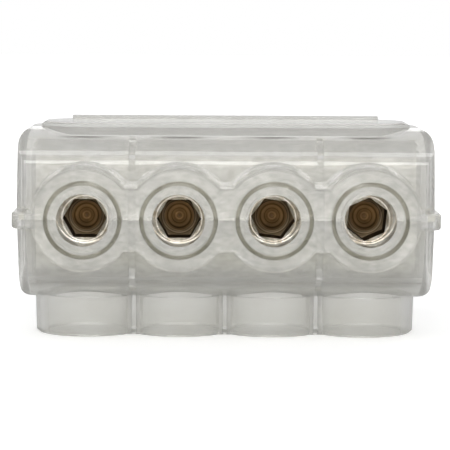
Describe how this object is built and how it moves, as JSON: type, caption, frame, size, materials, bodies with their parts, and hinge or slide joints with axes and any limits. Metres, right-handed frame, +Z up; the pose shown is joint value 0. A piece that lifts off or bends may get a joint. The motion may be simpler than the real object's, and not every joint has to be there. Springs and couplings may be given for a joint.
{
  "type": "insulated multi-tap terminal block",
  "caption": "Clear two-piece insulating housing round a plated bar, with a row of hex socket set screws at the front and wire entry tubes below.",
  "frame": {"origin": "middle of the plane of the tube mouths, under the middle of the housing", "axes": "+X along the row of ports, -Y towards the screw side, +Z up, away from the tube mouths"},
  "size_m": [0.0874, 0.041, 0.0461],
  "materials": {
    "clear_plastic": "clear moulded thermoplastic, slightly milky",
    "plated_bar": "extruded and tin plated, satin",
    "screw_metal": "turned, pale gold plating"
  },
  "bodies": {
    "housing": {"upper_shell": "clear_plastic", "lower_shell": "clear_plastic", "connector_bar": "plated_bar"},
    "screw_1": {"set_screw_1": "screw_metal"},
    "screw_2": {"set_screw_2": "screw_metal"},
    "screw_3": {"set_screw_3": "screw_metal"},
    "screw_4": {"set_screw_4": "screw_metal"}
  },
  "joints": [
    {"name": "screw_1_travel", "type": "slide", "parent": "housing", "child": "screw_1", "axis": [0, 1, 0], "range_m": [-0.00055, 0.007]},
    {"name": "screw_2_travel", "type": "slide", "parent": "housing", "child": "screw_2", "axis": [0, 1, 0], "range_m": [-0.00015, 0.007]},
    {"name": "screw_3_travel", "type": "slide", "parent": "housing", "child": "screw_3", "axis": [0, 1, 0], "range_m": [-0.00085, 0.007]},
    {"name": "screw_4_travel", "type": "slide", "parent": "housing", "child": "screw_4", "axis": [0, 1, 0], "range_m": [-0.00075, 0.007]}
  ]
}
